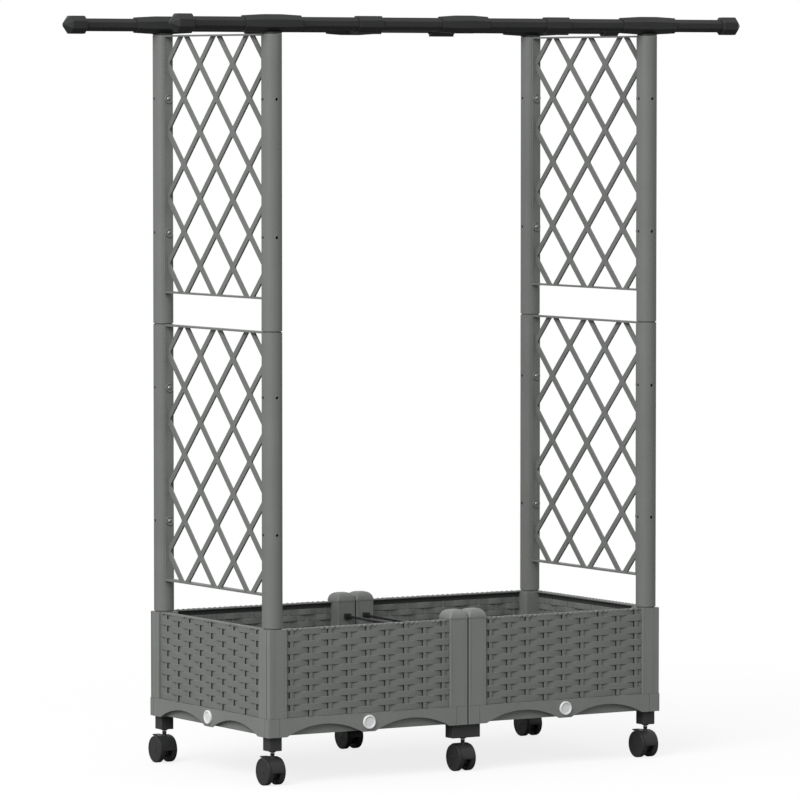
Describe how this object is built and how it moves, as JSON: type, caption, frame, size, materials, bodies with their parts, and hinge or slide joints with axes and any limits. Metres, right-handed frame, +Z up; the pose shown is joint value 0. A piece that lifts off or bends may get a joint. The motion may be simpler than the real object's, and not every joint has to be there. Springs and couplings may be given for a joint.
{
  "type": "planter with trellis",
  "caption": "Long planter box with woven-look panels on swivel casters, lattice trellis panels at both ends and an octagonal pipe frame on top.",
  "frame": {"origin": "on the floor under the middle of the planter box", "axes": "+X along the planter to the right, +Y to the back, +Z up"},
  "size_m": [1.2, 0.4503, 1.3566],
  "materials": {
    "grey_plastic": "satin grey moulded plastic with faint vertical streaks",
    "black_plastic": "satin black moulded plastic",
    "caster_plastic": "satin black nylon",
    "wheel_plastic": "satin dark nylon",
    "coated_steel": "black coated steel rod"
  },
  "bodies": {
    "planter": {"tray_left": "grey_plastic", "tray_right": "grey_plastic", "corner_post_front_left": "grey_plastic", "corner_post_front_right": "grey_plastic", "corner_post_back_right": "grey_plastic", "corner_post_back_left": "grey_plastic", "middle_post_front_left": "grey_plastic", "middle_post_front_right": "grey_plastic", "middle_post_back_right": "grey_plastic", "middle_post_back_left": "grey_plastic", "panel_front_left": "grey_plastic", "panel_front_right": "grey_plastic", "panel_back_right": "grey_plastic", "panel_back_left": "grey_plastic", "panel_left": "grey_plastic", "panel_right": "grey_plastic", "tie_rod_left": "coated_steel", "tie_rod_right": "coated_steel", "lower_tube_front_left": "grey_plastic", "lower_tube_front_right": "grey_plastic", "lower_tube_back_right": "grey_plastic", "lower_tube_back_left": "grey_plastic", "upper_tube_front_left": "grey_plastic", "upper_tube_front_right": "grey_plastic", "upper_tube_back_right": "grey_plastic", "upper_tube_back_left": "grey_plastic", "trellis_lower_left": "grey_plastic", "trellis_lower_right": "grey_plastic", "trellis_upper_left": "grey_plastic", "trellis_upper_right": "grey_plastic", "rail_end_front_left": "black_plastic", "rail_end_front_right": "black_plastic", "rail_end_back_right": "black_plastic", "rail_end_back_left": "black_plastic", "front_rail": "black_plastic", "back_rail": "black_plastic", "cross_pipe": "black_plastic", "foot_front_left": "black_plastic", "foot_front_right": "black_plastic", "foot_back_right": "black_plastic", "foot_back_left": "black_plastic", "foot_front_middle": "black_plastic", "foot_back_middle": "black_plastic"},
    "caster_front_left": {"caster_front_left_body": "caster_plastic"},
    "caster_front_left_wheels": {"caster_front_left_wheels": "wheel_plastic"},
    "caster_front_left_brake": {"caster_front_left_brake": "caster_plastic"},
    "caster_front_right": {"caster_front_right_body": "caster_plastic"},
    "caster_front_right_wheels": {"caster_front_right_wheels": "wheel_plastic"},
    "caster_front_right_brake": {"caster_front_right_brake": "caster_plastic"},
    "caster_back_right": {"caster_back_right_body": "caster_plastic"},
    "caster_back_right_wheels": {"caster_back_right_wheels": "wheel_plastic"},
    "caster_back_right_brake": {"caster_back_right_brake": "caster_plastic"},
    "caster_back_left": {"caster_back_left_body": "caster_plastic"},
    "caster_back_left_wheels": {"caster_back_left_wheels": "wheel_plastic"},
    "caster_back_left_brake": {"caster_back_left_brake": "caster_plastic"},
    "caster_front_middle": {"caster_front_middle_body": "caster_plastic"},
    "caster_front_middle_wheels": {"caster_front_middle_wheels": "wheel_plastic"},
    "caster_back_middle": {"caster_back_middle_body": "caster_plastic"},
    "caster_back_middle_wheels": {"caster_back_middle_wheels": "wheel_plastic"}
  },
  "joints": [
    {"name": "caster_front_left_swivel", "type": "hinge", "parent": "planter", "child": "caster_front_left", "pos_m": [-0.396, -0.196, 0.06], "axis": [0, 0, 1], "continuous": true},
    {"name": "caster_front_left_roll", "type": "hinge", "parent": "caster_front_left", "child": "caster_front_left_wheels", "pos_m": [-0.396, -0.19, 0.0245], "axis": [1, 0, 0], "continuous": true},
    {"name": "caster_front_left_brake_press", "type": "hinge", "parent": "caster_front_left", "child": "caster_front_left_brake", "pos_m": [-0.396, -0.18, 0.0489], "axis": [1, 0, 0], "range_deg": [-15, 0]},
    {"name": "caster_front_right_swivel", "type": "hinge", "parent": "planter", "child": "caster_front_right", "pos_m": [0.396, -0.196, 0.06], "axis": [0, 0, 1], "continuous": true},
    {"name": "caster_front_right_roll", "type": "hinge", "parent": "caster_front_right", "child": "caster_front_right_wheels", "pos_m": [0.396, -0.19, 0.0245], "axis": [1, 0, 0], "continuous": true},
    {"name": "caster_front_right_brake_press", "type": "hinge", "parent": "caster_front_right", "child": "caster_front_right_brake", "pos_m": [0.396, -0.18, 0.0489], "axis": [1, 0, 0], "range_deg": [-15, 0]},
    {"name": "caster_back_right_swivel", "type": "hinge", "parent": "planter", "child": "caster_back_right", "pos_m": [0.396, 0.196, 0.06], "axis": [0, 0, 1], "continuous": true},
    {"name": "caster_back_right_roll", "type": "hinge", "parent": "caster_back_right", "child": "caster_back_right_wheels", "pos_m": [0.396, 0.202, 0.0245], "axis": [1, 0, 0], "continuous": true},
    {"name": "caster_back_right_brake_press", "type": "hinge", "parent": "caster_back_right", "child": "caster_back_right_brake", "pos_m": [0.396, 0.212, 0.0489], "axis": [1, 0, 0], "range_deg": [-15, 0]},
    {"name": "caster_back_left_swivel", "type": "hinge", "parent": "planter", "child": "caster_back_left", "pos_m": [-0.396, 0.196, 0.06], "axis": [0, 0, 1], "continuous": true},
    {"name": "caster_back_left_roll", "type": "hinge", "parent": "caster_back_left", "child": "caster_back_left_wheels", "pos_m": [-0.396, 0.202, 0.0245], "axis": [1, 0, 0], "continuous": true},
    {"name": "caster_back_left_brake_press", "type": "hinge", "parent": "caster_back_left", "child": "caster_back_left_brake", "pos_m": [-0.396, 0.212, 0.0489], "axis": [1, 0, 0], "range_deg": [-15, 0]},
    {"name": "caster_front_middle_swivel", "type": "hinge", "parent": "planter", "child": "caster_front_middle", "pos_m": [0, -0.196, 0.06], "axis": [0, 0, 1], "continuous": true},
    {"name": "caster_front_middle_roll", "type": "hinge", "parent": "caster_front_middle", "child": "caster_front_middle_wheels", "pos_m": [0, -0.19, 0.0245], "axis": [1, 0, 0], "continuous": true},
    {"name": "caster_back_middle_swivel", "type": "hinge", "parent": "planter", "child": "caster_back_middle", "pos_m": [0, 0.196, 0.06], "axis": [0, 0, 1], "continuous": true},
    {"name": "caster_back_middle_roll", "type": "hinge", "parent": "caster_back_middle", "child": "caster_back_middle_wheels", "pos_m": [0, 0.202, 0.0245], "axis": [1, 0, 0], "continuous": true}
  ]
}
